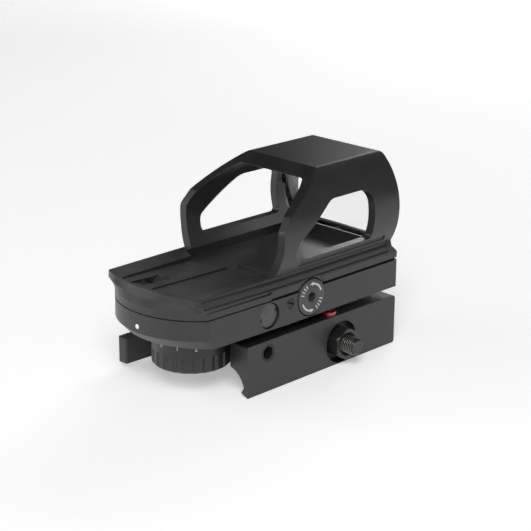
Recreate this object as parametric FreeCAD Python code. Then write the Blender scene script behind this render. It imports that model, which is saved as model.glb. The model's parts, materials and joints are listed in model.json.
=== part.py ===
import FreeCAD, Part

import math
import os

# An open reflex (red dot) finder on a quick-release rail clamp, in millimetres.
# +X points forward, from the tray and its dial to the lens. +Y is the side of the
# quick-release lever, -Y the side of the battery cap. +Z is up.
# The origin is the centre of the rail seat: the face that lies on top of the rail.

Vec = FreeCAD.Vector

# ---- driving dimensions: castings -----------------------------------------
BODY_HALF_WIDTH = 21.95
BODY_FRONT = 35.7
BODY_BOTTOM = 12.0
PARTING = 21.5
TAPER_X = -18.0
NOSE_APEX = -61.5
NOSE_CORNER = (-51.6, 21.0)
NOSE_FILLET = 4.0
NOSE_CHAMFER = 3.2
WALL_TOP = 24.4
LIP_Z = 26.8
LIP_APEX = -60.6
LIP_CORNER = (-55.2, 20.5)
RIM_TOP = 29.0
RIM_HALF_WIDTH = 20.9
RIM_APEX = -59.0
RIM_CORNER = (-55.5, 20.1)
RIM_FILLET = 1.2
FRONT_ROUND = 0.9
WALL = 2.2
FLOOR = 2.0
SHADOW_GAP = 0.4
RIDGE_END = -24.75
# ---- hood ------------------------------------------------------------------
HOOD_FRONT = 33.25
HOOD_TOP = 58.5
HOOD_WALL = 2.9
BULGE_CENTRE_Y = 1.10
BULGE_CENTRE_Z = 40.43
BULGE_RADIUS = 22.86
WELL_FLOOR = 26.0
WELL_HALF = 17.46
SILL_REAR = 24.95
SILL_TOP = 30.2
# ---- lens ------------------------------------------------------------------
LENS_RADIUS = 147.0
LENS_THICK = 3.0
LENS_TILT = 11.0
LENS_MID_X = 25.1
LENS_MID_Z = 42.5
LENS_LOW = 28.6
# ---- mount -----------------------------------------------------------------
MOUNT_REAR = -34.75
MOUNT_FRONT = 35.6
MOUNT_HALF_WIDTH = 21.45
MOUNT_TOP = 8.7
MOUNT_FOOT = -8.5
RAIL_TOP_HALF = 8.1
RAIL_HALF = 10.75
RAIL_NECK_HALF = 8.2
JAW_REAR = -24.0
BOLT_X = 8.7
BOLT_Z = -1.1
BOLT_R = 2.95
BOLT_ROOT_R = 2.55
BOLT_END = -28.8
BOLT_WAIST_R = 1.9
NUT_RECESS_R = 7.2
NUT_FLATS = 10.0
NUT_BACK = -19.5
NUT_FACE = -24.4
NUT_SINK_R = 4.15
PIN_GAP = 0.12
CAM_CONTACT = 5.0
CAM_OFFSET = 1.086
CAM_ANGLE = 40.0
JAW_SEAT_Y = 17.9
JAW_X = (-16.0, MOUNT_FRONT)
GUIDE_Z = 2.7
GUIDE_XS = (-9.0, 27.0)
LEVER_TIP = -46.9
LEVER_IN = 21.9
LEVER_OUT = 26.5
# ---- dial and adjusters ----------------------------------------------------
DIAL_X = -38.65
DIAL_R = 12.8
DIAL_Z = (-0.15, 11.6)
SPINDLE_R = 3.0
SCOOP_R = 14.2
DOT_Y = -0.5
DOT_Z = 17.2
CAP_X = -6.8
CAP_Z = 18.6
CAP_R = 6.0
CAP_GAP = 0.4
WINDAGE_X = -25.6
WINDAGE_Z = 17.0
WINDAGE_R = 4.05
WINDAGE_FACE = -21.15
NOTCH_ANGLE = -18
LOCK_X = -16.4
LOCK_Z = 18.9
ELEVATION_X = -54.2
EMITTER_Y = 4.5
ROD_X = -51.0
ROD_Z = 20.3
RUNNING = 0.05
# ---- fasteners -------------------------------------------------------------
HOUSING_SCREWS = [(-45.0, -17.5), (-45.0, 17.5), (28.5, -17.5), (28.5, 17.5)]
MOUNT_SCREW_XS = (-16.5, 20.0)
LEVEL_X = 5.55
LEVEL_Y = 18.3
LEVEL_FOOT = 7.0
SET_SCREW_X = -25.75
SET_SCREW_Z = 4.6
BOARD_SCREWS = [(-34.6, -11.0), (-34.6, 11.0)]


# ---- shape helpers ---------------------------------------------------------
def box(xs, ys, zs):
    """Block between two X, two Y and two Z values."""
    size = (xs[1] - xs[0], ys[1] - ys[0], zs[1] - zs[0])
    return Part.makeBox(*size, Vec(xs[0], ys[0], zs[0]))


def cyl(radius, start, end):
    """Solid cylinder from one point on its axis to another."""
    a, b = Vec(*start), Vec(*end)
    return Part.makeCylinder(radius, (b - a).Length, a, b - a)


def ring(outer, inner, start, end):
    """Plain ring or tube between two points on its axis."""
    return cyl(outer, start, end).cut(cyl(inner, start, end))


def along_y(radius, x, z, ys):
    return cyl(radius, (x, ys[0], z), (x, ys[1], z))


def along_z(radius, x, y, zs):
    return cyl(radius, (x, y, zs[0]), (x, y, zs[1]))


def rounded(points, radii):
    """Closed wire through 3-D points in one plane, with a radius at each corner."""
    edges, ends = [], []
    count = len(points)
    for i, radius in enumerate(radii):
        before, here, after = (Vec(*points[(i + k) % count]) for k in (-1, 0, 1))
        if radius == 0:
            ends.append((here, here, None))
            continue
        one, two = (before - here).normalize(), (after - here).normalize()
        half = one.getAngle(two) / 2
        reach = radius / math.tan(half)
        middle = here + (one + two).normalize() * (radius / math.sin(half) - radius)
        ends.append((here + one * reach, here + two * reach, middle))
    for i, (start, end, middle) in enumerate(ends):
        if middle is not None:
            edges.append(Part.Arc(start, middle, end).toShape())
        following = ends[(i + 1) % count][0]
        if (following - end).Length > 1e-6:
            edges.append(Part.LineSegment(end, following).toShape())
    return Part.Wire(edges)


def solid(wire, direction):
    return Part.Face(wire).extrude(Vec(*direction))


def prism_x(points, xs, radii=None):
    corners = [(xs[0], y, z) for y, z in points]
    return solid(rounded(corners, radii or [0] * len(points)), (xs[1] - xs[0], 0, 0))


def prism_y(points, ys, radii=None):
    corners = [(x, ys[0], z) for x, z in points]
    return solid(rounded(corners, radii or [0] * len(points)), (0, ys[1] - ys[0], 0))


def prism_z(points, zs, radii=None):
    corners = [(x, y, zs[0]) for x, y in points]
    return solid(rounded(corners, radii or [0] * len(points)), (0, 0, zs[1] - zs[0]))


def hexagon(flats, centre, direction):
    """Hexagonal bar across the given flats, along the direction vector."""
    radius = flats / math.sqrt(3)
    axis = Vec(*direction)
    side = Vec(0, 0, 1) if abs(axis.z) < 0.5 * axis.Length else Vec(1, 0, 0)
    spin = FreeCAD.Rotation(axis, 60)
    points, arm = [], side * radius
    for _ in range(6):
        points.append(Vec(*centre) + arm)
        arm = spin.multVec(arm)
    return Part.Face(Part.makePolygon(points + [points[0]])).extrude(axis)


def coil(radius, wire_radius, turns, start, length, direction):
    """Helical spring whose axis starts at start and runs along direction."""
    helix = Part.makeHelix(length / turns, length, radius)
    profile = Part.Wire(Part.makeCircle(wire_radius, Vec(radius, 0, 0), Vec(0, 1, 0)))
    spring = Part.Wire(helix).makePipeShell([profile], True, True)
    turn = FreeCAD.Rotation(Vec(0, 0, 1), Vec(*direction))
    spring.Placement = FreeCAD.Placement(Vec(*start), turn)
    return spring


def fuse_all(shapes):
    whole = shapes[0]
    for shape in shapes[1:]:
        whole = whole.fuse(shape)
    return whole


def both_sides(shape):
    """The shape together with its mirror image across the middle plane."""
    return shape.fuse(shape.mirror(Vec(0, 0, 0), Vec(0, 1, 0)))


def save(name, *shapes):
    shape = shapes[0] if len(shapes) == 1 else Part.makeCompound(list(shapes))
    shape.exportStep("parts/" + name + ".step")
    volume = round(shape.Volume, 1)
    print(name, "valid" if shape.isValid() else "INVALID", len(shape.Solids), volume)


# ---- plan outlines ---------------------------------------------------------
def rear_corner(half, corner, centre_x, radius, fillet):
    """Touch points and middle of the fillet between a tapered side and the bowed end."""
    along = Vec(corner[0] - TAPER_X, corner[1] - half, 0).normalize()
    inward = Vec(-along.y, along.x, 0)
    centre = Vec(centre_x, 0, 0)
    start = Vec(TAPER_X, half, 0) + inward * fillet
    offset = start - centre
    back = offset.dot(along)
    reach = math.sqrt(back ** 2 - offset.Length ** 2 + (radius - fillet) ** 2) - back
    middle = start + along * reach
    side_touch = middle - inward * fillet
    end_touch = centre + (middle - centre).normalize() * radius
    both = (side_touch - middle) + (end_touch - middle)
    return side_touch, middle + both.normalize() * fillet, end_touch


def plan_wire(z, front, half, corner, apex, fillet):
    """Outline seen from above: square front, sides that taper a little, bowed rear end."""
    depth = corner[0] - apex
    radius = (depth ** 2 + corner[1] ** 2) / (2 * depth)
    side, bend, end = rear_corner(half, corner, apex + radius, radius, fillet)
    turn = FRONT_ROUND * (1 - math.sqrt(0.5))

    def at(x, y):
        return Vec(x, y, z)

    edges = [
        Part.LineSegment(at(front - FRONT_ROUND, half), at(TAPER_X, half)),
        Part.LineSegment(at(TAPER_X, half), at(side.x, side.y)),
        Part.Arc(at(side.x, side.y), at(bend.x, bend.y), at(end.x, end.y)),
        Part.Arc(at(end.x, end.y), at(apex, 0), at(end.x, -end.y)),
        Part.Arc(at(end.x, -end.y), at(bend.x, -bend.y), at(side.x, -side.y)),
        Part.LineSegment(at(side.x, -side.y), at(TAPER_X, -half)),
        Part.LineSegment(at(TAPER_X, -half), at(front - FRONT_ROUND, -half)),
        Part.Arc(at(front - FRONT_ROUND, -half), at(front - turn, -half + turn),
                 at(front, -half + FRONT_ROUND)),
        Part.LineSegment(at(front, -half + FRONT_ROUND), at(front, half - FRONT_ROUND)),
        Part.Arc(at(front, half - FRONT_ROUND), at(front - turn, half - turn),
                 at(front - FRONT_ROUND, half)),
    ]
    return Part.Wire([edge.toShape() for edge in edges])


def nose_wire(z, inset=0.0, shift=0.0):
    """Body outline, moved inwards by inset; shift pulls only the rear end forward."""
    corner = (NOSE_CORNER[0] + inset + shift, NOSE_CORNER[1] - inset)
    fillet = max(NOSE_FILLET - inset, 0.8)
    apex = NOSE_APEX + inset + shift
    return plan_wire(z, BODY_FRONT - inset, BODY_HALF_WIDTH - inset, corner, apex, fillet)


def lip_wire(z):
    return plan_wire(z, HOOD_FRONT, BODY_HALF_WIDTH - 0.4, LIP_CORNER, LIP_APEX, RIM_FILLET)


def rim_wire(z):
    return plan_wire(z, HOOD_FRONT, RIM_HALF_WIDTH, RIM_CORNER, RIM_APEX, RIM_FILLET)


def body_block(zs, inset=0.0):
    return solid(nose_wire(zs[0], inset), (0, 0, zs[1] - zs[0]))


# ---- hood and tray casting -------------------------------------------------
def bulge_half_width(z, inset=0.0):
    rise = z - BULGE_CENTRE_Z
    return BULGE_CENTRE_Y + math.sqrt((BULGE_RADIUS - inset) ** 2 - rise ** 2)


def hood_section(xs, low, inset=0.0, corner=1.2, straight_to=None):
    """Barrel-sided section, flat on top; below straight_to its sides are upright."""
    top = HOOD_TOP - inset
    bend_from = straight_to or low
    half_low, half_top = bulge_half_width(bend_from, inset), bulge_half_width(top, inset)
    middle = 0.5 * (bend_from + top)
    half_middle = bulge_half_width(middle, inset)
    x = xs[0]
    edges = [
        Part.LineSegment(Vec(x, half_top, top), Vec(x, -half_top, top)),
        Part.Arc(Vec(x, -half_top, top), Vec(x, -half_middle, middle), Vec(x, -half_low, bend_from)),
        Part.Arc(Vec(x, half_low, bend_from), Vec(x, half_middle, middle), Vec(x, half_top, top)),
    ]
    if straight_to:
        edges.insert(2, Part.LineSegment(Vec(x, -half_low, bend_from), Vec(x, -half_low, low)))
        edges.insert(3, Part.LineSegment(Vec(x, -half_low, low), Vec(x, half_low, low)))
        edges.insert(4, Part.LineSegment(Vec(x, half_low, low), Vec(x, half_low, bend_from)))
    else:
        edges.insert(2, Part.LineSegment(Vec(x, -half_low, low), Vec(x, half_low, low)))
    block = solid(Part.Wire([edge.toShape() for edge in edges]), (xs[1] - xs[0], 0, 0))
    ridges = [edge for edge in block.Edges
              if all(abs(v.Z - top) < 1e-4 and abs(abs(v.Y) - half_top) < 1e-4
                     for v in edge.Vertexes)]
    return block.makeFillet(corner, ridges)


def hood_shell():
    outside = hood_section((-26.0, HOOD_FRONT), RIM_TOP - 1.0)
    side = [(-22.3, 20.0), (-22.3, RIM_TOP), (-21.4, 36.0), (-21.3, 43.0), (-17.5, 47.6),
            (1.55, HOOD_TOP + 0.01), (40.0, HOOD_TOP + 0.01), (40.0, 20.0)]
    outside = outside.common(prism_y(side, (-30, 30), [0, 0, 3.0, 2.0, 3.0, 0, 0, 0]))
    return outside


def side_windows():
    """D-shaped openings through both barrel walls."""
    points = [(-15.65, 32.2), (-15.2, 38.3), (1.4, 49.5), (20.9, 49.5), (20.9, 32.2)]
    return prism_y(points, (-30, 30), [2.5, 3.5, 6.5, 5.0, 1.6])


def tray_pocket():
    """Shallow stepped floor between the rims, with a wider rim on the far side."""
    outline = [(-58.2, 2.6), (-57.3, -6.0), (-53.4, -17.3), (-22.0, -17.2), (-22.0, 12.4),
               (-57.5, 11.5)]
    area = prism_z(outline, (20.0, 32.0), [6.0, 6.0, 2.0, 0, 0, 1.0])
    far = area.common(prism_z([(-60, 4.9), (-20, 5.9), (-20, 20), (-60, 20)], (20.0, 32.0)))
    near = area.common(prism_z([(-60, -2.7), (-20, -1.0), (-20, -20), (-60, -20)], (20.0, 32.0)))
    middle = area.cut(far).cut(near)
    tools = []
    for region, lift in ((near, 0.0), (middle, 0.6), (far, 0.15)):
        under = [(-62.0, 10.0), (-62.0, 28.5 + lift), (-22.0, 27.0 + lift), (-10.0, 27.0 + lift),
                 (-10.0, 10.0)]
        tools.append(region.cut(prism_y(under, (-30, 30))))
    return tools


def flank(x, beyond=0.0):
    """Point on the near flank seen from above, or that far outside it."""
    fall = (BODY_HALF_WIDTH - NOSE_CORNER[1]) / (TAPER_X - NOSE_CORNER[0])
    return (x, -BODY_HALF_WIDTH + fall * max(0.0, TAPER_X - x) - beyond)


def flank_channel(xs, z, radius, beyond):
    """Channel along the near flank; its ten-sided section follows the flank's taper."""
    stops = [xs[0], TAPER_X, xs[1]] if xs[0] < TAPER_X else list(xs)
    places = [flank(x, beyond) for x in stops]
    turns = [math.radians(36 * i + 18) for i in range(10)]
    parts = []
    for (x, y), (next_x, next_y) in zip(places, places[1:]):
        ring_points = [Vec(x, y + radius * math.cos(t), z + radius * math.sin(t)) for t in turns]
        section = Part.makePolygon(ring_points + ring_points[:1])
        parts.append(solid(section, (next_x - x, next_y - y, 0)))
    return fuse_all(parts)


def side_ledges():
    """Soft channels and a tapered ridge along one flank, above the parting line."""
    ridge_top = [(-52.8, -BODY_HALF_WIDTH - 1.0), flank(-52.8, -0.3), flank(RIDGE_END, -0.6),
                 (RIDGE_END, -BODY_HALF_WIDTH - 1.0)]
    step = box((RIDGE_END, 36.0), (-BODY_HALF_WIDTH - 1.0, -BODY_HALF_WIDTH + 1.05),
               (PARTING - 0.1, 22.4))
    return [
        prism_z(ridge_top, (23.8, 24.9)),
        step,
        flank_channel((-53.2, 30.4), 28.0, 0.75, -0.42),
        flank_channel((-52.6, 30.8), 25.7, 0.7, 0.08),
        flank_channel((-12.4, 28.6), 30.5, 1.0, 0.15),
    ]


def hood_frame():
    base = body_block((PARTING + SHADOW_GAP, WALL_TOP))
    base = base.fuse(body_block((PARTING, PARTING + SHADOW_GAP), SHADOW_GAP))
    lip = Part.makeLoft([nose_wire(WALL_TOP), lip_wire(LIP_Z), rim_wire(RIM_TOP)], True, True)
    casting = base.fuse(lip).fuse(hood_shell())
    tunnel = hood_section((-40.0, 40.0), WELL_FLOOR, HOOD_WALL, 2.0, RIM_TOP)
    upper_tunnel = tunnel.common(box((-41, SILL_REAR), (-30, 30), (RIM_TOP, 60)))
    front_opening = tunnel.common(box((SILL_REAR - 0.01, 41), (-30, 30), (SILL_TOP, 60)))
    well_edge = [(-25.2, WELL_HALF), (-28.2, 9.5), (-26.6, 1.6), (-20.8, -5.0), (-15.4, -9.2),
                 (-15.4, -WELL_HALF), (SILL_REAR, -WELL_HALF), (SILL_REAR, WELL_HALF)]
    well = prism_z(well_edge, (WELL_FLOOR, RIM_TOP + 2), [1.0, 4.0, 6.0, 8.0, 1.0, 1.0, 0.8, 0.8])
    well = well.fuse(prism_z([(-21.0, -5.9), (-20.4, -5.3), (-15.6, -9.0), (-16.2, -9.6)],
                             (WELL_FLOOR - 1.2, RIM_TOP)))
    groove = box((25.7, 30.3), (-18.3, 18.3), (28.4, SILL_TOP + 1))
    casting = casting.cut(upper_tunnel).cut(front_opening).cut(well).cut(groove)
    casting = casting.cut(side_windows())
    for tool in tray_pocket():
        casting = casting.cut(tool)
    for tool in side_ledges():
        casting = casting.cut(both_sides(tool))
    cavity = body_block((PARTING - 1, 25.2), WALL).common(box((-70, -19.6), (-30, 30), (20, 26)))
    emitter_slot = box((-57.0, -45.5), (1.3, 7.7), (24.0, 30.0))
    ramp = prism_y([(-50.6, 24.0), (-45.5, 27.9), (-44.5, 24.0)], (1.2, 7.8))
    battery = along_y(6.0, CAP_X, CAP_Z, (-23.0, -6.9))
    cap_seat = along_y(CAP_R + CAP_GAP, CAP_X, CAP_Z, (-23.0, -19.9))
    cap_flat = box((CAP_X - 7.2, CAP_X + 7.2), (-23.0, -BODY_HALF_WIDTH + 0.25), (21, 26.3))
    casting = casting.cut(cavity).cut(emitter_slot.cut(ramp)).cut(battery).cut(cap_seat)
    casting = casting.cut(cap_flat.common(along_y(7.2, CAP_X, CAP_Z, (-23, -21))))
    for x, y in HOUSING_SCREWS:
        post = along_z(3.2, x, y, (PARTING, 25.4))
        casting = casting.fuse(post).cut(along_z(1.25, x, y, (PARTING - 1, 24.6)))
    return casting.removeSplitter()


# ---- lower housing ---------------------------------------------------------
def lower_housing():
    rise = BODY_BOTTOM + NOSE_CHAMFER
    foot = [nose_wire(BODY_BOTTOM, 0.0, NOSE_CHAMFER), nose_wire(rise)]
    shell = body_block((rise, PARTING)).fuse(Part.makeLoft(foot, True, True))
    inner = body_block((BODY_BOTTOM + FLOOR, PARTING + 1), WALL)
    rear = inner.common(box((-70, -19.6), (-30, 30), (10, 30)))
    front = inner.common(box((4.0, 60), (-30, 30), (10, 30)))
    shell = shell.cut(rear).cut(front)
    for x, y in HOUSING_SCREWS:
        shell = shell.fuse(along_z(3.2, x, y, (BODY_BOTTOM + FLOOR - 0.5, PARTING)))
    shell = shell.fuse(along_z(4.5, MOUNT_SCREW_XS[1], 0, (BODY_BOTTOM + 1, 19.0)))
    shell = shell.fuse(along_z(2.2, DIAL_X + 9.0, 0, (BODY_BOTTOM + 1, 16.5)))
    for y in (-14.5, 12.9):
        shell = shell.fuse(box((ROD_X - 1.8, ROD_X + 1.8), (y, y + 1.6), (13.0, PARTING)))
    for x, y in BOARD_SCREWS:
        shell = shell.fuse(along_z(2.0, x, y, (13.0, 15.6))).cut(along_z(0.9, x, y, (13.6, 15.7)))
    for x, y in HOUSING_SCREWS:
        shell = shell.cut(along_z(1.3, x, y, (10, 23))).cut(along_z(2.4, x, y, (10, 13.6)))
    for x in MOUNT_SCREW_XS:
        shell = shell.cut(along_z(2.0, x, 0, (10, 17.6)))
    holes = [
        along_z(SPINDLE_R + RUNNING, DIAL_X, 0, (10, 15)),
        along_z(1.05, DIAL_X + 9.0, 0, (11, 15.9)),
        along_z(3.2, ELEVATION_X, EMITTER_Y, (10, 15)),
        along_y(6.0, CAP_X, CAP_Z, (-23, -6.9)),
        along_y(CAP_R + CAP_GAP, CAP_X, CAP_Z, (-23, -19.9)),
        along_y(WINDAGE_R + 0.22, WINDAGE_X, WINDAGE_Z, (-23, -20.4)),
        along_y(1.5 + RUNNING, WINDAGE_X, WINDAGE_Z, (-23, -19)),
        along_y(1.7, LOCK_X, LOCK_Z, (-23, -15.8)),
        along_y(1.0, ROD_X, ROD_Z, (-14.4, 14.4)),
        cyl(0.8, (NOSE_APEX - 1, DOT_Y, DOT_Z), (NOSE_APEX + 0.42, DOT_Y, DOT_Z)),
    ]
    for hole in holes:
        shell = shell.cut(hole)
    return shell.removeSplitter()


# ---- lens ------------------------------------------------------------------
def lens_shell(near_radius, far_radius):
    tilt = math.radians(LENS_TILT)
    centre = Vec(LENS_MID_X - LENS_RADIUS * math.cos(tilt), 0,
                 LENS_MID_Z - LENS_RADIUS * math.sin(tilt))
    outer = Part.makeSphere(far_radius, centre)
    return outer.cut(Part.makeSphere(near_radius, centre))


def lens():
    opening = hood_section((15.0, 35.0), LENS_LOW, HOOD_WALL + 0.06, 1.9, RIM_TOP)
    return opening.common(lens_shell(LENS_RADIUS, LENS_RADIUS + LENS_THICK))


def lens_retainer():
    outer = hood_section((15.0, HOOD_FRONT), SILL_TOP, HOOD_WALL, 2.0)
    inner = hood_section((14.0, HOOD_FRONT + 1), SILL_TOP + 0.9, HOOD_WALL + 1.1, 1.6)
    near = LENS_RADIUS + LENS_THICK + 0.02
    return outer.cut(inner).common(lens_shell(near, near + 1.3))


# ---- battery ---------------------------------------------------------------
def battery_holder():
    tube = along_y(5.95, CAP_X, CAP_Z, (-19.2, -7.0))
    return tube.cut(along_y(5.4, CAP_X, CAP_Z, (-19.3, -8.0)))


def battery_cells():
    cells = []
    for start in (-16.3, -13.7):
        can = along_y(5.0, CAP_X, CAP_Z, (start, start + 2.0))
        cells.append(can.fuse(along_y(4.3, CAP_X, CAP_Z, (start, start + 2.5))))
    return cells


def battery_cap():
    head = along_y(CAP_R, CAP_X, CAP_Z, (-22.15, -19.95))
    thread = along_y(5.3, CAP_X, CAP_Z, (-20.0, -16.5))
    socket = hexagon(3.2, (CAP_X, -22.2, CAP_Z), (0, 2.2, 0))
    return head.fuse(thread).cut(socket)


# ---- brightness dial -------------------------------------------------------
def brightness_dial():
    wheel = along_z(DIAL_R, DIAL_X, 0, DIAL_Z)
    edges = [edge for edge in wheel.Edges if len(edge.Vertexes) == 1]
    wheel = wheel.makeChamfer(0.6, edges)
    for i in range(24):
        angle = math.radians(15 * i + 7.5)
        x = DIAL_X + (DIAL_R + 0.75) * math.cos(angle)
        wheel = wheel.cut(along_z(1.25, x, (DIAL_R + 0.75) * math.sin(angle), (-1.0, 5.2)))
    wheel = wheel.cut(along_z(9.0, DIAL_X, 0, (-1.0, 0.9)))
    wheel = wheel.fuse(along_z(SPINDLE_R, DIAL_X, 0, (DIAL_Z[1] - 1, 16.4)))
    wheel = wheel.cut(ring(SPINDLE_R + 1, 2.5, (DIAL_X, 0, 14.15), (DIAL_X, 0, 14.75)))
    wheel = wheel.cut(along_z(2.8, DIAL_X, 0, (-1.0, 2.6)))
    return wheel.cut(along_z(1.3, DIAL_X, 0, (-1.0, 9.0)))


def dial_screw():
    head = along_z(2.7, DIAL_X, 0, (1.0, 2.6))
    shank = along_z(1.3, DIAL_X, 0, (2.5, 8.8))
    slot = box((DIAL_X - 3, DIAL_X + 3), (-0.4, 0.4), (0.9, 1.8))
    return head.fuse(shank).cut(slot)


def dial_wiper():
    disc = ring(6.8, SPINDLE_R, (DIAL_X, 0, 14.95), (DIAL_X, 0, 15.25))
    for angle in (0, 120, 240):
        arm = box((4.0, 6.2), (-0.5, 0.5), (15.2, 15.5))
        arm.rotate(Vec(0, 0, 0), Vec(0, 0, 1), angle)
        arm.translate(Vec(DIAL_X, 0, 0))
        disc = disc.fuse(arm)
    return disc


# ---- emitter and its adjusters --------------------------------------------
def circuit_board():
    board = box((-48.3, -32.4), (-13.0, 13.0), (15.6, 16.6))
    board = board.cut(along_z(SPINDLE_R + 0.4, DIAL_X, 0, (15, 17)))
    for x, y in BOARD_SCREWS:
        board = board.cut(along_z(1.1, x, y, (15, 17)))
    return board


def board_chips():
    sizes = [(-46.5, 6.0, 3.2, 2.4), (-46.0, -9.8, 3.6, 3.6), (-41.5, 8.2, 1.6, 0.9),
             (-41.5, 10.4, 1.6, 0.9)]
    return [box((x, x + w), (y, y + d), (14.1, 15.6)) if w > 3 else
            box((x, x + w), (y, y + d), (14.9, 15.6)) for x, y, w, d in sizes]


def emitter_carriage():
    plate = box((-56.9, -22.9), (-0.5, 8.6), (17.3, 18.8))
    nut_block = box((-29.6, -22.9), (-8.8, -3.2), (14.6, 20.0))
    bridge = box((-29.6, -22.9), (-3.6, 0.0), (17.3, 18.8))
    carriage = plate.fuse(nut_block).fuse(bridge)
    for ys in ((-0.5, 1.4), (6.4, 8.4)):
        carriage = carriage.fuse(box((ROD_X - 1.7, ROD_X + 1.7), ys, (18.0, 22.0)))
    carriage = carriage.cut(along_y(1.0 + RUNNING, ROD_X, ROD_Z, (-3, 12)))
    carriage = carriage.cut(along_y(1.5 + RUNNING, WINDAGE_X, WINDAGE_Z, (-9, 3.4)))
    carriage = carriage.cut(along_z(1.25 + RUNNING, ELEVATION_X, EMITTER_Y, (17, 19)))
    return carriage.cut(along_z(1.4, -33.0, 4.5, (17, 19)))


def emitter_block():
    block = box((-56.6, -52.9), (2.0, 7.0), (20.3, 28.0))
    block = block.cut(along_z(1.25 + RUNNING, ELEVATION_X, EMITTER_Y, (20, 24.4)))
    nose = prism_y([(-56.7, 28.1), (-56.7, 26.6), (-54.6, 28.1)], (1.0, 8.0))
    pocket = cyl(1.3, (-55.0, EMITTER_Y, 26.2), (-52.0, EMITTER_Y, 26.76))
    return block.cut(nose).cut(pocket)


def led():
    tip = Vec(-52.9, EMITTER_Y, 26.6)
    body = cyl(1.2, (-54.8, EMITTER_Y, 26.24), (tip.x, tip.y, tip.z))
    return body.fuse(Part.makeSphere(1.2, tip)).common(box((-56, -52.3), (0, 9), (24, 28)))


def windage_screw():
    """Screw with a plain face, turned by two notches in its rim."""
    head = along_y(WINDAGE_R, WINDAGE_X, WINDAGE_Z, (WINDAGE_FACE, -20.5))
    head = head.makeChamfer(0.15, [edge for edge in head.Edges
                                   if edge.BoundBox.YMax < WINDAGE_FACE + 0.1])
    shank = along_y(1.5, WINDAGE_X, WINDAGE_Z, (-20.6, -2.0))
    neck = ring(2.0, 1.15, (WINDAGE_X, -19.4, WINDAGE_Z), (WINDAGE_X, -18.8, WINDAGE_Z))
    screw = head.fuse(shank).cut(neck)
    for angle in (NOTCH_ANGLE, NOTCH_ANGLE + 180):
        notch = box((WINDAGE_R - 1.2, WINDAGE_R + 1), (-22.5, -20.7), (-0.65, 0.65))
        notch.rotate(Vec(0, 0, 0), Vec(0, 1, 0), angle)
        notch.translate(Vec(WINDAGE_X, 0, WINDAGE_Z))
        screw = screw.cut(notch)
    return screw


def lock_screw():
    screw = along_y(1.65, LOCK_X, LOCK_Z, (-21.8, -16.0))
    slot = box((-2.0, 2.0), (-22.0, -21.0), (-0.28, 0.28))
    slot.rotate(Vec(0, 0, 0), Vec(0, 1, 0), 25)
    slot.translate(Vec(LOCK_X, 0, LOCK_Z))
    return screw.cut(slot)


def elevation_screw():
    head = along_z(2.3, ELEVATION_X, EMITTER_Y, (12.4, 14.4))
    collar = along_z(1.6, ELEVATION_X, EMITTER_Y, (14.3, 17.2))
    shank = along_z(1.25, ELEVATION_X, EMITTER_Y, (17.1, 23.8))
    slot = box((ELEVATION_X - 3, ELEVATION_X + 3), (EMITTER_Y - 0.4, EMITTER_Y + 0.4), (12, 13.2))
    return head.fuse(collar).fuse(shank).cut(slot)


# ---- rail clamp ------------------------------------------------------------
def rail_profile(sign):
    """Half of the rail channel, from its seat down to the foot of one jaw."""
    return [(0.0, 0.0), (sign * RAIL_TOP_HALF, 0.0), (sign * RAIL_HALF, -2.65),
            (sign * RAIL_HALF, -3.0), (sign * RAIL_NECK_HALF, -5.55),
            (sign * RAIL_NECK_HALF, -7.9), (sign * (RAIL_NECK_HALF + 0.8), -8.7), (0.0, -8.7)]


def skirt_arch():
    """Rounded arch under the rear end of the base, clear of the dial and the rail."""
    half = [Vec(0, 0, 0.4), Vec(0, 13.1, 0.4), Vec(0, 19.7, -5.25), Vec(0, 18.6, -7.25),
            Vec(0, 22.0, -8.75), Vec(0, 0, -8.75)]
    edges = [
        Part.LineSegment(half[0], half[1]).toShape(),
        Part.Arc(half[1], Vec(0, 17.75, -1.9), half[2]).toShape(),
        Part.LineSegment(half[2], half[3]).toShape(),
        Part.LineSegment(half[3], half[4]).toShape(),
        Part.LineSegment(half[4], half[5]).toShape(),
        Part.LineSegment(half[5], half[0]).toShape(),
    ]
    arch = solid(Part.Wire(edges), (12.0, 0, 0))
    arch.translate(Vec(JAW_REAR - 12.0, 0, 0))
    return both_sides(arch)


def mount_base():
    side = [(MOUNT_REAR, MOUNT_FOOT), (MOUNT_REAR, MOUNT_TOP), (MOUNT_FRONT, MOUNT_TOP),
            (MOUNT_FRONT, MOUNT_FOOT)]
    base = prism_y(side, (-MOUNT_HALF_WIDTH, MOUNT_HALF_WIDTH), [0, 0.6, 1.4, 0.8])
    for sign in (-1, 1):
        base = base.cut(prism_x(rail_profile(sign), (JAW_REAR - 0.1, 37.0)))
    base = base.cut(skirt_arch())
    base = base.cut(along_z(SCOOP_R, DIAL_X, 0, (-10, 10)))
    base = base.cut(box((JAW_X[0] - 0.2, 37), (12.0, 23), (-10, 5.3)))
    base = base.cut(box((JAW_X[0] - 0.2, 37), (RAIL_TOP_HALF, 23), (-10, 0.3)))
    base = base.cut(along_y(BOLT_R + 0.15, BOLT_X, BOLT_Z, (-23, 23)))
    base = base.cut(along_y(NUT_RECESS_R, BOLT_X, BOLT_Z, (-23, -18.45)))
    for x in GUIDE_XS:
        base = base.cut(along_y(1.2, x, GUIDE_Z, (3.5, 13)))
        base = base.cut(along_y(2.15, x, GUIDE_Z, (7.8, 13)))
    for x in MOUNT_SCREW_XS:
        base = base.cut(along_z(2.05, x, 0, (-1, 9))).cut(along_z(3.7, x, 0, (-1, 4.2)))
    for y in (-LEVEL_Y, LEVEL_Y):
        base = base.cut(along_z(1.25, LEVEL_X, y, (LEVEL_FOOT - 0.1, 9)))
    base = base.cut(along_y(3.0, SET_SCREW_X, SET_SCREW_Z, (-23, -15.4)))
    return base.removeSplitter()


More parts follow.
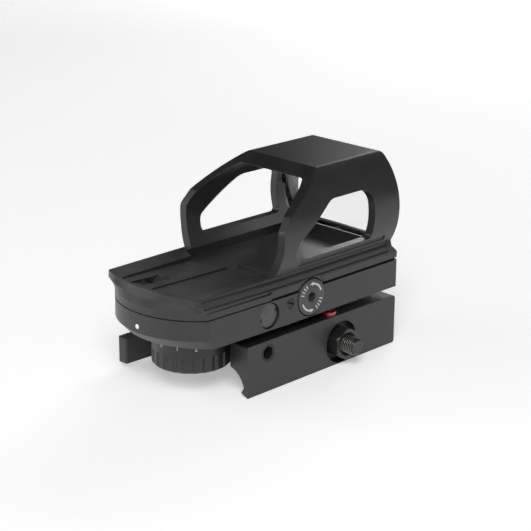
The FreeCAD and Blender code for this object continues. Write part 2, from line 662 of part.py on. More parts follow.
def clamp_jaw():
    inner = [(RAIL_TOP_HALF + 0.13, -0.13), (RAIL_HALF, -2.65), (RAIL_HALF, -3.0),
             (RAIL_NECK_HALF, -5.55), (RAIL_NECK_HALF, -7.9), (RAIL_NECK_HALF + 0.6, MOUNT_FOOT),
             (MOUNT_HALF_WIDTH, MOUNT_FOOT), (MOUNT_HALF_WIDTH, 5.15), (12.15, 5.15),
             (12.15, -0.13)]
    jaw = prism_x(inner, JAW_X, [0, 0, 0, 0, 0, 0, 1.2, 0.4, 0, 0])
    jaw = jaw.cut(box((BOLT_X - 7, BOLT_X + 7), (JAW_SEAT_Y, 24), (-10, 6)))
    jaw = jaw.cut(along_y(BOLT_R + 0.2, BOLT_X, BOLT_Z, (5, 20)))
    for x in GUIDE_XS:
        jaw = jaw.cut(along_y(1.2 + RUNNING, x, GUIDE_Z, (10, 20.4)))
    return jaw


def clamp_bolt():
    pin_y = JAW_SEAT_Y + PIN_GAP + CAM_CONTACT
    root = along_y(BOLT_ROOT_R, BOLT_X, BOLT_Z, (BOLT_END, -19.3))
    root = root.makeChamfer(0.35, [edge for edge in root.Edges
                                   if edge.BoundBox.YMax < BOLT_END + 0.1])
    shank = along_y(BOLT_R, BOLT_X, BOLT_Z, (-19.4, -8.2))
    waist = along_y(BOLT_WAIST_R, BOLT_X, BOLT_Z, (-8.3, 8.3))
    stem = along_y(BOLT_R, BOLT_X, BOLT_Z, (8.2, 17.6))
    tang = box((BOLT_X - 2.6, BOLT_X + 2.6), (17.0, pin_y), (BOLT_Z - 1.4, BOLT_Z + 1.4))
    eye = along_z(2.9, BOLT_X, pin_y, (BOLT_Z - 2.0, BOLT_Z + 2.0))
    flat = box((BOLT_X - 2.9, BOLT_X + 2.9), (17.2, pin_y), (BOLT_Z - 2.0, BOLT_Z + 2.0))
    flat = flat.common(along_y(BOLT_R, BOLT_X, BOLT_Z, (17, 30)).fuse(tang))
    bolt = root.fuse(shank).fuse(waist).fuse(stem).fuse(tang).fuse(flat).fuse(eye)
    return bolt.cut(along_z(1.5, BOLT_X, pin_y, (-4, 3))).removeSplitter()


def qd_lever():
    pin_y = JAW_SEAT_Y + PIN_GAP + CAM_CONTACT
    angle = math.radians(270 - CAM_ANGLE)
    cam_r = CAM_CONTACT - CAM_OFFSET * math.cos(math.radians(CAM_ANGLE))
    cam_x = BOLT_X + CAM_OFFSET * math.cos(angle)
    cam_y = pin_y + CAM_OFFSET * math.sin(angle)
    low, high = BOLT_Z - 5.0, BOLT_Z + 5.0
    head = along_z(cam_r, cam_x, cam_y, (low, high))
    arm = [(BOLT_X, LEVER_OUT - 0.15), (BOLT_X, LEVER_IN + 1.4), (4.0, LEVER_IN), (-31.0, LEVER_IN),
           (LEVER_TIP, LEVER_IN + 0.5), (LEVER_TIP, LEVER_OUT), (-38.0, LEVER_OUT),
           (-30.0, LEVER_OUT - 1.5), (-4.0, LEVER_OUT - 1.5)]
    plan = prism_z(arm, (low, high), [0, 0, 2.0, 6.0, 0.8, 0.8, 6.0, 8.0, 12.0])
    side = [(16.0, low), (16.0, high), (2.5, high), (-8.0, 2.9), (LEVER_TIP - 1, 2.6),
            (LEVER_TIP - 1, -6.7), (-30.0, -6.7), (-8.0, low)]
    plan = plan.common(prism_y(side, (10, 40), [0, 0, 4.0, 6.0, 0, 0, 8.0, 8.0]))
    lever = head.fuse(plan)
    slot_z = (BOLT_Z - 2.15, BOLT_Z + 2.15)
    sweep = along_z(3.3, BOLT_X, pin_y, slot_z)
    corner = box((BOLT_X - 3.3, BOLT_X + 12), (pin_y - 12, pin_y + 3.3), slot_z)
    lever = lever.cut(sweep).cut(corner)
    lever = lever.cut(along_z(1.5 + RUNNING, BOLT_X, pin_y, (low - 1, high + 1)))
    for i in range(5):
        x = LEVER_TIP + 1.6 + 1.5 * i
        lever = lever.cut(along_z(0.45, x, LEVER_OUT + 0.15, (-8, 3)))
    return lever.removeSplitter()


def clamp_nut():
    """Hexagon nut, its corners slightly turned off, with a wide countersink."""
    nut = hexagon(NUT_FLATS, (BOLT_X, NUT_BACK, BOLT_Z), (0, NUT_FACE - NUT_BACK, 0))
    crown_r, crown_low = 5.75, 5.2
    crown = cyl(crown_r, (BOLT_X, NUT_BACK, BOLT_Z), (BOLT_X, NUT_FACE + 0.55, BOLT_Z))
    cone = Part.makeCone(crown_r, crown_low, 0.56, Vec(BOLT_X, NUT_FACE + 0.55, BOLT_Z),
                         Vec(0, -1, 0))
    nut = nut.common(crown.fuse(cone))
    sink = Part.makeCone(BOLT_R, NUT_SINK_R, 1.3, Vec(BOLT_X, NUT_FACE + 1.25, BOLT_Z),
                         Vec(0, -1, 0))
    return nut.cut(along_y(BOLT_R + 0.08, BOLT_X, BOLT_Z, (-25, -19))).cut(sink)


def socket_screw(head_r, head_h, shank_r, length, flats, x, y, z):
    """Cap screw whose head's outer face is at z and whose shank points up."""
    head = along_z(head_r, x, y, (z, z + head_h))
    shank = along_z(shank_r, x, y, (z + head_h - 0.1, z + head_h + length))
    return head.fuse(shank).cut(hexagon(flats, (x, y, z - 0.1), (0, 0, head_h * 0.6)))


def set_screw():
    screw = along_y(2.98, SET_SCREW_X, SET_SCREW_Z, (-21.4, -15.5))
    return screw.cut(hexagon(4.0, (SET_SCREW_X, -21.5, SET_SCREW_Z), (0, 3.6, 0)))


def export_all():
    save("hood_frame", hood_frame())
    save("lower_housing", lower_housing())
    save("lens", lens())
    save("lens_retainer", lens_retainer())
    save("index_dot", cyl(0.78, (NOSE_APEX - 0.02, DOT_Y, DOT_Z), (NOSE_APEX + 0.4, DOT_Y, DOT_Z)))
    save("battery_holder", battery_holder())
    save("battery_cells", *battery_cells())
    save("battery_spring", coil(3.0, 0.3, 2.5, (CAP_X, -10.85, CAP_Z), 2.4, (0, 1, 0)))
    save("battery_cap", battery_cap())
    save("cap_seal", ring(5.95, 5.36, (CAP_X, -19.85, CAP_Z), (CAP_X, -19.3, CAP_Z)))
    save("circuit_board", circuit_board())
    save("board_chips", *board_chips())
    save("board_screws", *[along_z(1.9, x, y, (16.6, 17.2)).fuse(along_z(0.88, x, y, (13.8, 16.7)))
                           for x, y in BOARD_SCREWS])
    save("guide_rod", along_y(1.0, ROD_X, ROD_Z, (-14.3, 14.3)))
    save("windage_spring", coil(1.5, 0.25, 4, (ROD_X, 9.4, ROD_Z), 3.0, (0, 1, 0)))
    save("emitter_window", box((-51.6, -51.0), (1.4, 7.6), (25.3, 28.0)))
    save("emitter_carriage", emitter_carriage())
    save("emitter_washer", ring(2.4, 1.4, (ELEVATION_X, EMITTER_Y, 18.85),
                                (ELEVATION_X, EMITTER_Y, 19.35)))
    save("emitter_block", emitter_block())
    save("led", led())
    save("windage_screw", windage_screw())
    save("windage_clip", ring(2.7, 1.15, (WINDAGE_X, -19.4, WINDAGE_Z),
                              (WINDAGE_X, -18.8, WINDAGE_Z)))
    save("lock_screw", lock_screw())
    save("elevation_screw", elevation_screw())
    save("brightness_dial", brightness_dial())
    save("dial_screw", dial_screw())
    save("dial_clip", ring(4.6, 2.5, (DIAL_X, 0, 14.15), (DIAL_X, 0, 14.75)))
    save("dial_wiper", dial_wiper())
    save("detent_ball", Part.makeSphere(1.0, Vec(DIAL_X + 9.0, 0, 12.7)))
    save("detent_spring", coil(0.72, 0.16, 5, (DIAL_X + 9.0, 0, 13.9), 1.8, (0, 0, 1)))
    save("housing_screws", *[socket_screw(2.3, 1.5, 1.25, 11.0, 1.5, x, y, 12.1)
                             for x, y in HOUSING_SCREWS])
    save("mount_base", mount_base())
    save("mount_screws", *[socket_screw(3.6, 3.9, 2.0, 13.2, 3.0, x, 0, 0.3)
                           for x in MOUNT_SCREW_XS])
    save("mount_spacers", *[ring(4.2, 2.05, (x, 0, MOUNT_TOP), (x, 0, BODY_BOTTOM))
                            for x in MOUNT_SCREW_XS])
    save("levelling_screws", *[along_z(1.25, LEVEL_X, y, (LEVEL_FOOT, BODY_BOTTOM))
                               for y in (-LEVEL_Y, LEVEL_Y)])
    save("red_rings", *[ring(2.65, 1.26, (LEVEL_X, y, MOUNT_TOP), (LEVEL_X, y, MOUNT_TOP + 1.2))
                        for y in (-LEVEL_Y, LEVEL_Y)])
    save("set_screw", set_screw())
    save("guide_pins", *[along_y(1.2, x, GUIDE_Z, (3.6, 18.4)) for x in GUIDE_XS])
    save("jaw_springs", *[coil(1.65, 0.3, 3, (x, 8.3, GUIDE_Z), 3.3, (0, 1, 0))
                          for x in GUIDE_XS])
    save("clamp_jaw", clamp_jaw())
    save("clamp_bolt", clamp_bolt())
    save("lever_pin", along_z(1.5, BOLT_X, JAW_SEAT_Y + PIN_GAP + CAM_CONTACT,
                              (BOLT_Z - 5.0, BOLT_Z + 5.0)))
    save("qd_lever", qd_lever())
    save("clamp_washer", ring(5.8, BOLT_R + 0.1, (BOLT_X, -18.5, BOLT_Z), (BOLT_X, -19.45, BOLT_Z)))
    save("clamp_nut", clamp_nut())


os.makedirs("parts", exist_ok=True)
export_all()
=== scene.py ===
import json
import math

import bmesh
import bpy
from mathutils import Matrix, Vector


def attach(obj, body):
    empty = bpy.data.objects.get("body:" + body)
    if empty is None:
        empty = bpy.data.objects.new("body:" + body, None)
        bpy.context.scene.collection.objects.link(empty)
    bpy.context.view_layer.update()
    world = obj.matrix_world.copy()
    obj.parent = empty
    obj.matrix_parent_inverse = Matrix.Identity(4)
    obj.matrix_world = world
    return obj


# Looks of a red dot finder on a quick-release rail clamp, in the frame of the packed
# model: +X to the lens, +Y to the lever, +Z up, z = 0 on the rail. Lengths are metres,
# except the places on the object, which are millimetres and are used times MM.

MM = 0.001

# ---- camera and room -------------------------------------------------------
CAMERA_AIM = (0.00331, 0.00870, 0.01935)
CAMERA_AZIMUTH = -45.42
CAMERA_ELEVATION = 18.69
CAMERA_ROLL = 0.46
CAMERA_DISTANCE = 0.5148
CAMERA_LENS = 103.68
FLOOR_Z = -8.52 * MM
FLOOR_GLOW = 0.36
FAR_GLOW = 0.95
GLOW_FROM = 0.6
GLOW_FULL = 1.8
BACKDROP_RADIUS = 4.0
LAMP_AIM = (0.0, 0.0, 0.02)

# Each lamp's name, place, width and height, and power in watts.
LAMPS = (
    ("overhead", (0.1, 0.1, 1.5), (1.6, 1.6), 1.2),
    ("camera_high", (-0.8, -0.8, 1.0), (0.7, 0.7), 14.6),
    ("left", (-0.75, 0.9, 0.5), (0.7, 0.7), 3.1),
    ("back_right", (0.95, 0.35, 0.42), (0.6, 0.4), 3.6),
    ("rear", (-1.1, 0.1, 0.4), (0.6, 0.6), 1.7),
    ("right", (0.9, -0.75, 0.5), (0.7, 0.7), 0.45),
)

# ---- places on the object, millimetres -------------------------------------
DIAL_X = -38.65
DIAL_R = 12.8
DIAL_NUMBER_COUNT = 12
DIAL_NUMBER_Z = 8.35
DIAL_NUMBER_SIZE = 2.6
DIAL_NUMBER_HEIGHT = 0.03
BOLT_X = 8.7
BOLT_Z = -1.1
THREAD_ROOT = 2.56
THREAD_CREST = 2.93
THREAD_PITCH = 0.8
THREAD_Y = (-28.4, -19.7)
THREAD_FADE = 0.4
CAP_X = -6.8
CAP_Z = 18.6
CAP_FACE_Y = -22.15
CAP_MARK_HEIGHT = 0.07
CAP_MARK_ROOT = 0.02
ARROW_RADII = (4.15, 4.75)
ARROW_HEAD_RADII = (3.75, 5.15)
TICK_RADII = (3.7, 5.1)
# Heights and front and rear ends of the painted light, a grey lightening laid on the hood's
# low, upward tray faces.
PAINTED_LIGHT_TOP_Z = 33.0
PAINTED_LIGHT_FULL_Z = 29.5
PAINTED_LIGHT_FRONT_X = -22.0
PAINTED_LIGHT_REAR_X = -50.0

# ---- angles on the object, degrees -----------------------------------------
LENS_TILT = 11.0
DIAL_ZERO = 180.0
DIAL_STEP = 27.0
ARROW_START = 20.0
ARROW_SHAFT = 62.0
ARROW_HEAD = 20.0
TICK_START = 118.0
TICK_SPACING = 14.0
TICK_WIDTH = 5.0

# Grey of the painted light on the hood's tray faces, and its share at the front end.
PAINTED_LIGHT_GREY = (0.092, 0.090, 0.088)
PAINTED_LIGHT_FRONT_SHARE = 0.12


# ---- node helpers ----------------------------------------------------------
class Shader:
    """A material's node tree, with short calls for the few nodes used here."""

    SOCKETS = {"metallic": "Metallic", "ior": "IOR", "specular": "Specular IOR Level",
               "coat": "Coat Weight", "transmission": "Transmission Weight"}

    def __init__(self, name):
        self.material = bpy.data.materials.new(name)
        self.material.use_nodes = True
        self.tree = self.material.node_tree
        self.tree.nodes.clear()
        self.out = self.tree.nodes.new("ShaderNodeOutputMaterial")
        self.bsdf = self.tree.nodes.new("ShaderNodeBsdfPrincipled")
        self.tree.links.new(self.bsdf.outputs[0], self.out.inputs[0])
        self.coords = self.tree.nodes.new("ShaderNodeTexCoord").outputs["Object"]

    def add(self, kind, **properties):
        made = self.tree.nodes.new(kind)
        for key, value in properties.items():
            setattr(made, key, value)
        return made

    def link(self, source, target):
        self.tree.links.new(source, target)

    def feed(self, socket, source):
        self.link(source, self.bsdf.inputs[socket])

    def base_colour(self):
        """What feeds the base colour so far."""
        return self.bsdf.inputs["Base Color"].links[0].from_socket

    def normal(self):
        return self.add("ShaderNodeNewGeometry").outputs["Normal"]

    def split(self, vector):
        """The X, Y and Z of a vector."""
        made = self.add("ShaderNodeSeparateXYZ")
        self.link(vector, made.inputs[0])
        return made.outputs

    def noise(self, scale, detail=3.0, stretch=None, roughness=0.55):
        made = self.add("ShaderNodeTexNoise")
        made.inputs["Scale"].default_value = scale
        made.inputs["Detail"].default_value = detail
        made.inputs["Roughness"].default_value = roughness
        source = self.coords
        if stretch:
            mapping = self.add("ShaderNodeMapping")
            mapping.inputs["Scale"].default_value = stretch
            self.link(source, mapping.inputs["Vector"])
            source = mapping.outputs[0]
        self.link(source, made.inputs["Vector"])
        return made.outputs["Fac"]

    def remap(self, source, low, high, to_low=0.0, to_high=1.0):
        made = self.add("ShaderNodeMapRange")
        made.inputs["From Min"].default_value = low
        made.inputs["From Max"].default_value = high
        made.inputs["To Min"].default_value = to_low
        made.inputs["To Max"].default_value = to_high
        self.link(source, made.inputs["Value"])
        return made.outputs[0]

    def math(self, operation, a, b=0.0):
        made = self.add("ShaderNodeMath", operation=operation)
        for value, socket in ((a, made.inputs[0]), (b, made.inputs[1])):
            if isinstance(value, (int, float)):
                socket.default_value = value
            else:
                self.link(value, socket)
        return made.outputs[0]

    def mix(self, factor, a, b):
        made = self.add("ShaderNodeMix", data_type="RGBA")
        self.link(factor, made.inputs["Factor"])
        for value, socket in ((a, made.inputs[6]), (b, made.inputs[7])):
            if isinstance(value, tuple):
                socket.default_value = value + (1.0,)
            else:
                self.link(value, socket)
        return made.outputs[2]

    def edge(self, radius):
        """0 on flat faces, rising to 1 along sharp edges; also the rounded normal."""
        bevel = self.add("ShaderNodeBevel", samples=6)
        bevel.inputs["Radius"].default_value = radius
        dot = self.add("ShaderNodeVectorMath", operation="DOT_PRODUCT")
        self.link(bevel.outputs[0], dot.inputs[0])
        self.link(self.normal(), dot.inputs[1])
        return self.remap(dot.outputs["Value"], 0.995, 0.80), bevel.outputs[0]

    def set(self, **values):
        for key, value in values.items():
            self.bsdf.inputs[self.SOCKETS[key]].default_value = value


def finish(name, colour, rough, metallic=0.0, shade=0.25, grain=2500.0, bump=0.05,
           edge_radius=0.22, wear=0.25, wear_colour=(0.30, 0.30, 0.31), brushed=None, **values):
    """General surface: colour drifts a little, fine grain in bump and gloss, worn edges."""
    s = Shader(name)
    s.set(metallic=metallic, **values)
    drift = s.noise(90.0, 4.0)
    speck = s.noise(grain, 3.0, brushed)
    dark = tuple(c * (1.0 - shade) for c in colour)
    light = tuple(min(1.0, c * (1.0 + shade)) for c in colour)
    tone = s.mix(s.remap(drift, 0.35, 0.65), dark, light)
    fleck = tuple(min(1.0, c * 1.9) for c in colour)
    tone = s.mix(s.remap(speck, 0.60, 0.80, 0.0, 0.35), tone, fleck)
    mask, rounded = s.edge(edge_radius * MM)
    patchy = s.math("MULTIPLY", mask, s.remap(s.noise(420.0, 5.0), 0.42, 0.66, 0.15, 1.0))
    tone = s.mix(s.math("MULTIPLY", patchy, wear), tone, wear_colour)
    s.feed("Base Color", tone)
    gloss = s.remap(s.math("ADD", drift, speck), 0.75, 1.25, rough * 0.86, rough * 1.16)
    s.feed("Roughness", gloss)
    relief = s.add("ShaderNodeBump")
    relief.inputs["Strength"].default_value = bump
    relief.inputs["Distance"].default_value = 0.08 * MM
    s.link(speck, relief.inputs["Height"])
    s.link(rounded, relief.inputs["Normal"])
    s.feed("Normal", relief.outputs[0])
    return s


# ---- materials -------------------------------------------------------------
def anodised(name, level, rough, grain=2600.0, bump=0.10):
    """Bead-blasted aluminium with a black anodised skin."""
    return finish(name, (level, level * 0.985, level * 0.965), rough, metallic=0.0, shade=0.16,
                  grain=grain, bump=bump, wear=0.16, wear_colour=(0.22, 0.22, 0.22),
                  specular=0.62)


def dusty_hood():
    """Black anodised casting whose low, upward tray faces, more so towards the rear, carry
    painted light: a grey lightening in random patches.
    """
    s = anodised("anodised_hood", 0.016, 0.36)
    place = s.split(s.coords)
    facing = s.split(s.normal())
    low = s.remap(place[2], PAINTED_LIGHT_TOP_Z * MM, PAINTED_LIGHT_FULL_Z * MM)
    upward = s.remap(facing[2], 0.75, 0.95)
    back = s.remap(place[0], PAINTED_LIGHT_FRONT_X * MM, PAINTED_LIGHT_REAR_X * MM, PAINTED_LIGHT_FRONT_SHARE, 1.0)
    patch = s.remap(s.noise(160.0, 5.0), 0.30, 0.65, 0.65, 1.0)
    # painted light: grey lightening on the low, upward-facing tray faces, fading towards the
    # front, broken into random patches
    painted_light_mask = s.math("MULTIPLY", s.math("MULTIPLY", low, upward), s.math("MULTIPLY", back, patch))
    s.feed("Base Color", s.mix(painted_light_mask, s.base_colour(), PAINTED_LIGHT_GREY))
    return s


def blasted_grey():
    """Coarsely blasted grey metal."""
    return finish("cap_grey", (0.075, 0.075, 0.077), 0.42, metallic=0.35, shade=0.35,
                  grain=900.0, bump=0.35, wear=0.5)


def gunmetal():
    """Dark steel, worn bright along its edges."""
    return finish("gunmetal", (0.070, 0.068, 0.066), 0.36, metallic=0.85, shade=0.35,
                  grain=1500.0, bump=0.18, wear=0.55, wear_colour=(0.50, 0.49, 0.47))


def thread_steel():
    """Bright crests on the bolt's thread, with painted shade darkening its root."""
    s = finish("thread_steel", (0.20, 0.196, 0.190), 0.36, metallic=0.85, shade=0.1,
               grain=1500.0, bump=0.1, wear=0.0)
    place = s.split(s.coords)
    across = s.math("SUBTRACT", place[0], BOLT_X * MM)
    up = s.math("SUBTRACT", place[2], BOLT_Z * MM)
    squares = s.math("ADD", s.math("MULTIPLY", across, across), s.math("MULTIPLY", up, up))
    radius = s.math("SQRT", squares)
    # painted shade: the colour darkens towards the thread root, by distance from the bolt's
    # axis
    crest = s.remap(radius, (THREAD_ROOT + 0.08) * MM, (THREAD_CREST - 0.04) * MM)
    s.feed("Base Color", s.mix(crest, (0.012, 0.011, 0.010), s.base_colour()))
    return s


def glass(name, tint, rough):
    """Clear glass with faint smears in its gloss."""
    s = Shader(name)
    s.set(transmission=1.0, ior=1.5)
    smear = s.remap(s.noise(130.0, 5.0, (1.0, 1.0, 2.6)), 0.45, 0.75, rough, rough + 0.05)
    s.feed("Roughness", smear)
    drift = s.remap(s.noise(60.0), 0.3, 0.7)
    s.feed("Base Color", s.mix(drift, tint, tuple(c * 0.985 for c in tint)))
    return s


def lens_glass():
    """Clear on its two curved faces, blackened round its ground edge."""
    s = glass("coated_glass", (0.985, 0.995, 0.985), 0.0)
    tilt = math.radians(LENS_TILT)
    facing = s.add("ShaderNodeVectorMath", operation="DOT_PRODUCT")
    s.link(s.normal(), facing.inputs[0])
    facing.inputs[1].default_value = (math.cos(tilt), 0.0, math.sin(tilt))
    clear = s.remap(s.math("ABSOLUTE", facing.outputs["Value"]), 0.6, 0.9)
    s.feed("Base Color", s.mix(clear, (0.015, 0.015, 0.015), s.base_colour()))
    s.feed("Transmission Weight", clear)
    return s


def circuit_green():
    """Glossy green solder mask."""
    return finish("board", (0.012, 0.085, 0.035), 0.35, grain=1800.0, bump=0.05, wear=0.0,
                  coat=0.4)


SHADERS = {
    "anodised": dusty_hood,
    "anodised_lower": lambda: anodised("anodised_housing", 0.018, 0.38),
    "anodised_mount": lambda: anodised("anodised_mount", 0.018, 0.42, 2300.0, 0.12),
    "dial_black": lambda: anodised("anodised_dial", 0.016, 0.40),
    "coated_glass": lens_glass,
    "window_glass": lambda: glass("window_glass", (0.96, 0.96, 0.96), 0.02),
    "ring_grey": lambda: finish("ring_grey", (0.055, 0.055, 0.055), 0.35, metallic=0.3,
                                shade=0.12, brushed=(1.0, 0.1, 1.0)),
    "white_paint": lambda: finish("white_paint", (0.85, 0.84, 0.81), 0.45, shade=0.04,
                                  wear=0.0, bump=0.1),
    "black_plastic": lambda: finish("black_plastic", (0.02, 0.02, 0.02), 0.5, wear=0.1),
    "cell_steel": lambda: finish("cell_steel", (0.66, 0.65, 0.62), 0.22, metallic=1.0,
                                 shade=0.1, brushed=(1.0, 0.05, 1.0)),
    "spring_steel": lambda: finish("spring_steel", (0.42, 0.42, 0.43), 0.3, metallic=1.0,
                                   grain=1500.0),
    "zinc_steel": lambda: finish("zinc_steel", (0.5, 0.5, 0.52), 0.34, metallic=1.0),
    "cap_grey": blasted_grey,
    "screw_grey": lambda: finish("screw_grey", (0.075, 0.073, 0.071), 0.4, metallic=0.2,
                                 grain=1300.0, bump=0.2, wear=0.4),
    "seal_rubber": lambda: finish("seal_rubber", (0.012, 0.012, 0.012), 0.7, wear=0.0),
    "board": circuit_green,
    "chip_plastic": lambda: finish("chip_plastic", (0.015, 0.015, 0.016), 0.5, wear=0.1),
    "brass": lambda: finish("brass", (0.50, 0.36, 0.13), 0.32, metallic=1.0, shade=0.15,
                            wear_colour=(0.75, 0.6, 0.3)),
    "led_resin": lambda: finish("led_resin", (0.30, 0.010, 0.012), 0.2, shade=0.2, wear=0.0,
                                coat=0.6),
    "black_steel": lambda: finish("black_steel", (0.03, 0.03, 0.031), 0.4, metallic=0.5,
                                  wear=0.4),
    "gunmetal": gunmetal,
    "red_plastic": lambda: finish("red_plastic", (0.34, 0.012, 0.022), 0.22, shade=0.15,
                                  wear=0.25, wear_colour=(0.9, 0.5, 0.5), coat=1.0),
    "mark_paint": lambda: finish("mark_paint", (0.62, 0.62, 0.60), 0.5, shade=0.1, wear=0.0),
    "thread_steel": thread_steel,
}


def dress_nodes(made):
    """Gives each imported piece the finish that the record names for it."""
    for subpart in frame["record"]["subparts"]:
        node = frame["nodes"][subpart["node"]]
        node.data.materials.clear()
        node.data.materials.append(made[subpart["material_slot"]])


# ---- pieces built here -----------------------------------------------------
def piece(name, mesh, body, material, smooth=True):
    """A new object for a finished mesh, riding on a body."""
    thing = bpy.data.objects.new(name, mesh)
    bpy.context.scene.collection.objects.link(thing)
    mesh.materials.append(material)
    for face in mesh.polygons:
        face.use_smooth = smooth
    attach(thing, body)
    return thing


def grid_mesh(name, rows):
    """Closed tube through rings of points, with its two ends capped."""
    mesh = bpy.data.meshes.new(name)
    count = len(rows[0])
    points = [point for row in rows for point in row]
    faces = []
    for i in range(len(rows) - 1):
        for j in range(count):
            k = (j + 1) % count
            here = i * count
            above = here + count
            faces.append((here + j, here + k, above + k, above + j))
    last = (len(rows) - 1) * count
    faces.append(tuple(reversed(range(count))))
    faces.append(tuple(last + j for j in range(count)))
    mesh.from_pydata(points, [], faces)
    work = bmesh.new()
    work.from_mesh(mesh)
    bmesh.ops.recalc_face_normals(work, faces=work.faces)
    work.to_mesh(mesh)
    work.free()
    return mesh


def thread_radius(along, angle, start, end):
    """Rounded V thread that fades out at both ends."""
    phase = ((along / THREAD_PITCH) - angle / (2 * math.pi)) % 1.0
    crest = max(0.0, 1.0 - abs(phase - 0.5) / 0.42)
    crest = min(crest * 1.25, 1.0)
    fade = min(1.0, (along - start) / THREAD_FADE, (end - along) / THREAD_FADE)
    return THREAD_ROOT + (THREAD_CREST - THREAD_ROOT) * crest * max(0.0, fade)


def bolt_thread(made):
    """The helical thread standing on the bolt's root cylinder."""
    start, end = THREAD_Y
    steps, around = 140, 56
    rows = []
    for i in range(steps + 1):
        y = start + (end - start) * i / steps
        row = []
        for j in range(around):
            angle = 2 * math.pi * j / around
            r = thread_radius(y, angle, start, end)
            x = BOLT_X + r * math.cos(angle)
            z = BOLT_Z + r * math.sin(angle)
            row.append(Vector((x, y, z)) * MM)
        rows.append(row)
    mesh = grid_mesh("bolt_thread", rows)
    return piece("bolt_thread", mesh, "sight", made["thread_steel"], smooth=False)


def arc_prism(work, radii, angles, taper=0.0, steps=8):
    """Raised bar that follows a circle on the cap's face; taper narrows it to an arrow."""
    rings = []
    for i in range(steps + 1):
        share = i / steps
        angle = math.radians(angles[0] + (angles[1] - angles[0]) * share)
        middle = 0.5 * (radii[0] + radii[1])
        half = 0.5 * (radii[1] - radii[0]) * (1.0 - taper * share)
        ring = []
        for r, y in ((middle - half, CAP_MARK_ROOT), (middle + half, CAP_MARK_ROOT),
                     (middle + half, -CAP_MARK_HEIGHT), (middle - half, -CAP_MARK_HEIGHT)):
            x = CAP_X + r * math.cos(angle)
            z = CAP_Z + r * math.sin(angle)
            ring.append(work.verts.new(Vector((x, CAP_FACE_Y + y, z)) * MM))
        rings.append(ring)
    for a, b in zip(rings, rings[1:]):
        for j in range(4):
            k = (j + 1) % 4
            work.faces.new((a[j], a[k], b[k], b[j]))
    work.faces.new(rings[0][::-1])
    work.faces.new(rings[-1])


def cap_marks(made):
    """Ring of two arrows and two groups of tick bars standing on the battery cap."""
    work = bmesh.new()
    for half_turn in (0.0, 180.0):
        tail = half_turn + ARROW_START
        neck = tail + ARROW_SHAFT
        arc_prism(work, ARROW_RADII, (tail, neck))
        arc_prism(work, ARROW_HEAD_RADII, (neck, neck + ARROW_HEAD), taper=0.95)
    for half_turn in (0.0, 180.0):
        for tick in range(4):
            angle = half_turn + TICK_START + TICK_SPACING * tick
            arc_prism(work, TICK_RADII, (angle, angle + TICK_WIDTH), steps=2)
    bmesh.ops.recalc_face_normals(work, faces=work.faces)
    mesh = bpy.data.meshes.new("cap_marks")
    work.to_mesh(mesh)
    work.free()
    return piece("cap_marks", mesh, "battery_cap", made["mark_paint"], smooth=False)


def wrap_on_dial(mesh, angle):
    """Bends flat text round the dial's rim, reading upright from outside."""
    for vertex in mesh.vertices:
        around = angle + vertex.co.x / (DIAL_R * MM)
        out = DIAL_R * MM + vertex.co.z
        up = vertex.co.y + DIAL_NUMBER_Z * MM
        vertex.co = (DIAL_X * MM + out * math.cos(around), out * math.sin(around), up)


def dial_numbers(made):
    """Brightness steps 0 to 11, painted round the rim above the grip flutes."""
    work = bmesh.new()
    for step in range(DIAL_NUMBER_COUNT):
        curve = bpy.data.curves.new("number", "FONT")
        curve.body = str(step)
        curve.size = DIAL_NUMBER_SIZE * MM
        curve.align_x = "CENTER"
        curve.align_y = "CENTER"
        curve.extrude = DIAL_NUMBER_HEIGHT * MM
        curve.resolution_u = 3
        source = bpy.data.objects.new("number", curve)
        bpy.context.scene.collection.objects.link(source)
        bpy.context.view_layer.update()
        graph = bpy.context.evaluated_depsgraph_get()
        mesh = bpy.data.meshes.new_from_object(source.evaluated_get(graph))
        bpy.data.objects.remove(source)
        wrap_on_dial(mesh, math.radians(DIAL_ZERO + DIAL_STEP * step))
        work.from_mesh(mesh)
        bpy.data.meshes.remove(mesh)
    bmesh.ops.remove_doubles(work, verts=work.verts, dist=1e-7)
    mesh = bpy.data.meshes.new("dial_numbers")
    work.to_mesh(mesh)
    work.free()
    return piece("dial_numbers", mesh, "brightness_dial", made["mark_paint"],
                 smooth=False)


# ---- room, lights and camera ----------------------------------------------
def paper_material(name, near_glow):
    """Matt white paper that glows more further out, so it stays evenly pale."""
    s = Shader(name)
    soft = s.remap(s.noise(3.0), 0.3, 0.7)
    s.feed("Base Color", s.mix(soft, (0.90, 0.90, 0.90), (0.93, 0.93, 0.93)))
    s.bsdf.inputs["Roughness"].default_value = 0.9
    s.set(specular=0.1)
    s.bsdf.inputs["Emission Color"].default_value = (1.0, 1.0, 1.0, 1.0)
    length = s.add("ShaderNodeVectorMath", operation="LENGTH")
    s.link(s.coords, length.inputs[0])
    glow = s.remap(length.outputs["Value"], GLOW_FROM, GLOW_FULL, near_glow, FAR_GLOW)
    s.feed("Emission Strength", glow)
    return s.material


def stage_piece(name, points, faces, material):
    """A piece of the room, which is no part of the object."""
    mesh = bpy.data.meshes.new(name)
    mesh.from_pydata(points, [], faces)
    mesh.materials.append(material)
    made = bpy.data.objects.new(name, mesh)
    bpy.context.scene.collection.objects.link(made)
    return made


def add_floor():
    half = BACKDROP_RADIUS
    corners = [(x * half, y * half, FLOOR_Z) for x, y in ((-1, -1), (1, -1), (1, 1), (-1, 1))]
    paper = paper_material("floor_paper", FLOOR_GLOW)
    stage_piece("floor", corners, [(0, 1, 2, 3)], paper)


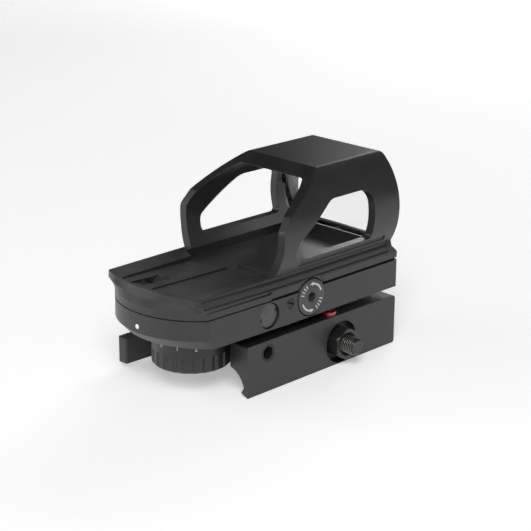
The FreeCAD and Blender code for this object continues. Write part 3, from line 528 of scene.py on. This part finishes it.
def add_backdrop():
    """Round white wall, seen directly and through glass but lighting nothing."""
    sides = 64
    points = []
    for z in (FLOOR_Z, BACKDROP_RADIUS):
        for i in range(sides):
            angle = 2 * math.pi * i / sides
            x = BACKDROP_RADIUS * math.cos(angle)
            y = BACKDROP_RADIUS * math.sin(angle)
            points.append((x, y, z))
    faces = [(i, (i + 1) % sides, sides + (i + 1) % sides, sides + i) for i in range(sides)]
    wall = stage_piece("backdrop", points, faces, paper_material("wall_paper", FAR_GLOW))
    wall.visible_diffuse = False
    wall.visible_glossy = False
    wall.visible_shadow = False


def add_softbox(name, place, size, power):
    """A white area lamp turned towards the object."""
    light = bpy.data.lights.new(name, "AREA")
    light.shape = "RECTANGLE"
    light.size, light.size_y = size
    light.energy = power
    lamp = bpy.data.objects.new(name, light)
    bpy.context.scene.collection.objects.link(lamp)
    lamp.location = place
    aim = Vector(LAMP_AIM) - Vector(place)
    lamp.rotation_euler = aim.to_track_quat("-Z", "Y").to_euler()


def add_world():
    """Almost black room: the lamps and the pale floor do the lighting."""
    world = bpy.data.worlds.new("room")
    bpy.context.scene.world = world
    world.use_nodes = True
    background = world.node_tree.nodes["Background"]
    background.inputs["Color"].default_value = (0.9, 0.95, 1.0, 1.0)
    background.inputs["Strength"].default_value = 0.01


def add_lights():
    add_world()
    for lamp in LAMPS:
        add_softbox(*lamp)


def add_camera():
    """The photograph's camera: where it stands, how it is rolled, and its lens."""
    azimuth = math.radians(CAMERA_AZIMUTH)
    elevation = math.radians(CAMERA_ELEVATION)
    roll = math.radians(CAMERA_ROLL)
    back = Vector((math.sin(azimuth) * math.cos(elevation),
                   -math.cos(azimuth) * math.cos(elevation), math.sin(elevation)))
    right = Vector((math.cos(azimuth), math.sin(azimuth), 0.0))
    up = back.cross(right)
    side = right * math.cos(roll) + up * math.sin(roll)
    head = up * math.cos(roll) - right * math.sin(roll)
    data = bpy.data.cameras.new("camera")
    data.sensor_width = 36.0
    data.lens = CAMERA_LENS
    data.clip_start = 0.05
    data.clip_end = 20.0
    camera = bpy.data.objects.new("camera", data)
    bpy.context.scene.collection.objects.link(camera)
    turn = Matrix((side, head, back)).transposed().to_4x4()
    place = Vector(CAMERA_AIM) + back * CAMERA_DISTANCE
    camera.matrix_world = Matrix.Translation(place) @ turn
    bpy.context.scene.camera = camera


with open("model.json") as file:
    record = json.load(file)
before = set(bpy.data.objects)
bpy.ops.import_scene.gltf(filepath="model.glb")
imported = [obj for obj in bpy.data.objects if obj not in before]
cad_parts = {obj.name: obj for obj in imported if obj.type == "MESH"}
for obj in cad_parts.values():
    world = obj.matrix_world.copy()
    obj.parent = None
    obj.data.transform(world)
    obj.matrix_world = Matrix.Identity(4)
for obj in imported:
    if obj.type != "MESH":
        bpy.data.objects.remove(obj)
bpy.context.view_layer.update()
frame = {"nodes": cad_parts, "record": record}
surfaces = {slot: make().material for slot, make in SHADERS.items()}
dress_nodes(surfaces)
bolt_thread(surfaces)
cap_marks(surfaces)
dial_numbers(surfaces)
add_floor()
add_backdrop()
add_lights()
add_camera()
bpy.context.scene.view_settings.view_transform = "Standard"
